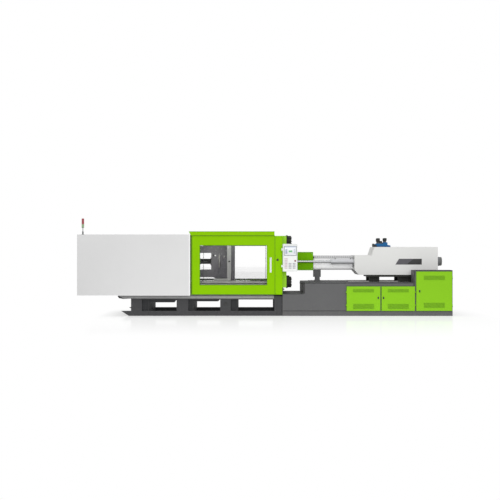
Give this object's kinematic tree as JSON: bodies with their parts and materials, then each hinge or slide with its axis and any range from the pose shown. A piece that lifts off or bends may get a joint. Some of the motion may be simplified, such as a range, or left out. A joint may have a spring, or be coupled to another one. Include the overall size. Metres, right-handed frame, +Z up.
{
  "type": "injection moulding machine",
  "caption": "Horizontal toggle-clamp injection moulding machine: white clamp housing, green sliding doors, grey bed, injection unit and green cabinets",
  "frame": {"origin": "on the floor under the middle of the machine's overall box", "axes": "+X along the machine towards the injection unit, +Z up, -Y towards the operator who stands at the front door"},
  "size_m": [10.19, 2.2, 2.659],
  "materials": {
    "white_paint": "satin powder coat",
    "green_paint": "satin powder coat",
    "dark_grey_paint": "satin machine enamel",
    "grey_paint": "satin machine enamel",
    "black_paint": "satin machine enamel",
    "blue_paint": "satin machine enamel",
    "platen_grey": "machined and painted casting",
    "ground_steel": "ground",
    "band_steel": "brushed, heat tinted",
    "polished_chrome": "ground and hard chromed",
    "clear_pane": "clear",
    "white_plastic": "fine texture",
    "black_plastic": "fine texture",
    "red_plastic": "smooth",
    "green_lens": "clear ribbed lens",
    "red_lens": "clear ribbed lens"
  },
  "bodies": {
    "machine": {"clamp_bed": "dark_grey_paint", "slide_ways": "ground_steel", "fixed_platen": "platen_grey", "tie_bars": "polished_chrome", "tie_bar_retainers": "black_paint", "housing_frame": "dark_grey_paint", "housing_side_covers": "white_paint", "housing_roof": "white_paint", "canopy": "green_paint", "platen_guards": "green_paint", "beacon_pole": "black_plastic", "beacon_green": "green_lens", "beacon_red": "red_lens", "injection_bed": "dark_grey_paint", "cabinet_frame": "dark_grey_paint", "control_cabinet": "dark_grey_paint", "oil_tank": "grey_paint", "pump_motor": "grey_paint", "carriage_rods": "polished_chrome", "purge_guard_rails": "ground_steel"},
    "front_door": {"front_door_frame": "green_paint", "front_door_pane": "clear_pane", "front_door_handle": "white_plastic"},
    "rear_door": {"rear_door_frame": "green_paint", "rear_door_pane": "clear_pane"},
    "rear_platen": {"rear_platen": "platen_grey", "adjusting_nuts": "ground_steel", "clamp_cylinder": "dark_grey_paint"},
    "moving_platen": {"moving_platen": "platen_grey", "platen_guides": "ground_steel", "ejector_cylinder": "dark_grey_paint"},
    "ejector": {"ejector_plate": "ground_steel"},
    "rear_link_upper": {"rear_link_upper": "platen_grey"},
    "rear_link_lower": {"rear_link_lower": "platen_grey"},
    "front_link_upper": {"front_link_upper": "platen_grey"},
    "front_link_lower": {"front_link_lower": "platen_grey"},
    "crosshead": {"crosshead": "platen_grey"},
    "crosshead_link_upper": {"crosshead_link_upper": "platen_grey"},
    "crosshead_link_lower": {"crosshead_link_lower": "platen_grey"},
    "carriage": {"carriage_base": "black_paint", "barrel": "band_steel", "barrel_guard": "ground_steel", "carriage_cylinders": "black_paint", "injection_block": "platen_grey", "injection_housing": "white_paint", "manifold": "blue_paint", "valves": "black_plastic"},
    "drive": {"injection_drive": "platen_grey"},
    "screw": {"screw": "polished_chrome"},
    "purge_guard": {"purge_guard": "green_paint"},
    "hmi": {"hmi_housing": "white_plastic", "hmi_front": "black_plastic"},
    "hmi_estop": {"hmi_estop": "red_plastic"},
    "guard_button": {"guard_button": "red_plastic"},
    "cabinet_left_door": {"cabinet_left_door": "green_paint"},
    "cabinet_right_door": {"cabinet_right_door": "green_paint"},
    "control_door": {"control_door": "green_paint"},
    "cabinet_left_latch": {"cabinet_left_latch": "black_plastic"},
    "cabinet_right_latch": {"cabinet_right_latch": "black_plastic"},
    "control_latch": {"control_latch": "black_plastic"}
  },
  "joints": [
    {"name": "front_door_slide", "type": "slide", "parent": "machine", "child": "front_door", "axis": [-1, 0, 0], "range_m": [0, 1.75]},
    {"name": "rear_door_slide", "type": "slide", "parent": "machine", "child": "rear_door", "axis": [-1, 0, 0], "range_m": [0, 1.75]},
    {"name": "die_height", "type": "slide", "parent": "machine", "child": "rear_platen", "axis": [1, 0, 0], "range_m": [0, 0.6]},
    {"name": "clamp_stroke", "type": "slide", "parent": "rear_platen", "child": "moving_platen", "axis": [1, 0, 0], "range_m": [-0.72348, 0]},
    {"name": "crosshead_slide", "type": "slide", "parent": "rear_platen", "child": "crosshead", "axis": [1, 0, 0], "range_m": [-0.46, 0]},
    {"name": "rear_link_upper_swing", "type": "hinge", "parent": "rear_platen", "child": "rear_link_upper", "pos_m": [-3.02159, 0, 2.075], "axis": [0, 1, 0], "range_deg": [0, 108]},
    {"name": "rear_link_lower_swing", "type": "hinge", "parent": "rear_platen", "child": "rear_link_lower", "pos_m": [-3.02159, 0, 0.875], "axis": [0, 1, 0], "range_deg": [-108, 0]},
    {"name": "front_link_upper_swing", "type": "hinge", "parent": "moving_platen", "child": "front_link_upper", "pos_m": [-1.8, 0, 1.81], "axis": [0, 1, 0], "range_deg": [-25, 0]},
    {"name": "front_link_lower_swing", "type": "hinge", "parent": "moving_platen", "child": "front_link_lower", "pos_m": [-1.8, 0, 1.14], "axis": [0, 1, 0], "range_deg": [0, 25]},
    {"name": "crosshead_link_upper_swing", "type": "hinge", "parent": "crosshead", "child": "crosshead_link_upper", "pos_m": [-2.689, 0, 1.605], "axis": [0, 1, 0], "range_deg": [-24.5, 0]},
    {"name": "crosshead_link_lower_swing", "type": "hinge", "parent": "crosshead", "child": "crosshead_link_lower", "pos_m": [-2.689, 0, 1.345], "axis": [0, 1, 0], "range_deg": [0, 24.5]},
    {"name": "ejector_slide", "type": "slide", "parent": "moving_platen", "child": "ejector", "axis": [1, 0, 0], "range_m": [0, 0.15]},
    {"name": "carriage_slide", "type": "slide", "parent": "machine", "child": "carriage", "axis": [1, 0, 0], "range_m": [0, 0.5]},
    {"name": "injection_slide", "type": "slide", "parent": "carriage", "child": "drive", "axis": [1, 0, 0], "range_m": [0, 0.35]},
    {"name": "screw_spin", "type": "hinge", "parent": "drive", "child": "screw", "pos_m": [3.7, 0, 1.475], "axis": [1, 0, 0], "continuous": true},
    {"name": "purge_guard_slide", "type": "slide", "parent": "machine", "child": "purge_guard", "axis": [1, 0, 0], "range_m": [0, 0.4]},
    {"name": "hmi_swivel", "type": "hinge", "parent": "machine", "child": "hmi", "pos_m": [0.44, -1.04, 1.585], "axis": [0, 0, 1], "range_deg": [-90, 0]},
    {"name": "hmi_estop_press", "type": "slide", "parent": "hmi", "child": "hmi_estop", "axis": [0, 1, 0], "range_m": [0, 0.0045], "stiffness_N_per_m": 600},
    {"name": "guard_button_press", "type": "slide", "parent": "machine", "child": "guard_button", "axis": [0, 1, 0], "range_m": [0, 0.006], "stiffness_N_per_m": 600},
    {"name": "cabinet_left_door_swing", "type": "hinge", "parent": "machine", "child": "cabinet_left_door", "pos_m": [2.194, -0.918, 0.472], "axis": [0, 0, -1], "range_deg": [0, 110]},
    {"name": "cabinet_right_door_swing", "type": "hinge", "parent": "machine", "child": "cabinet_right_door", "pos_m": [4.07, -0.918, 0.472], "axis": [0, 0, 1], "range_deg": [0, 110]},
    {"name": "control_door_swing", "type": "hinge", "parent": "machine", "child": "control_door", "pos_m": [5.083, -0.918, 0.672], "axis": [0, 0, 1], "range_deg": [0, 110]},
    {"name": "cabinet_left_latch_turn", "type": "hinge", "parent": "cabinet_left_door", "child": "cabinet_left_latch", "pos_m": [3.063, -0.93, 0.492], "axis": [0, -1, 0], "range_deg": [0, 90]},
    {"name": "cabinet_right_latch_turn", "type": "hinge", "parent": "cabinet_right_door", "child": "cabinet_right_latch", "pos_m": [3.207, -0.93, 0.492], "axis": [0, 1, 0], "range_deg": [0, 90]},
    {"name": "control_latch_turn", "type": "hinge", "parent": "control_door", "child": "control_latch", "pos_m": [4.189, -0.93, 0.674], "axis": [0, 1, 0], "range_deg": [0, 90]}
  ],
  "couplings": [
    {"joint": "crosshead_slide", "follows": "clamp_stroke", "ratio": 0.62867},
    {"joint": "rear_link_upper_swing", "follows": "clamp_stroke", "rad_per_m": -2.5996},
    {"joint": "rear_link_lower_swing", "follows": "clamp_stroke", "rad_per_m": 2.5996},
    {"joint": "front_link_upper_swing", "follows": "clamp_stroke", "rad_per_m": 0.58725},
    {"joint": "front_link_lower_swing", "follows": "clamp_stroke", "rad_per_m": -0.58725},
    {"joint": "crosshead_link_upper_swing", "follows": "clamp_stroke", "rad_per_m": 0.57342},
    {"joint": "crosshead_link_lower_swing", "follows": "clamp_stroke", "rad_per_m": -0.57342}
  ]
}
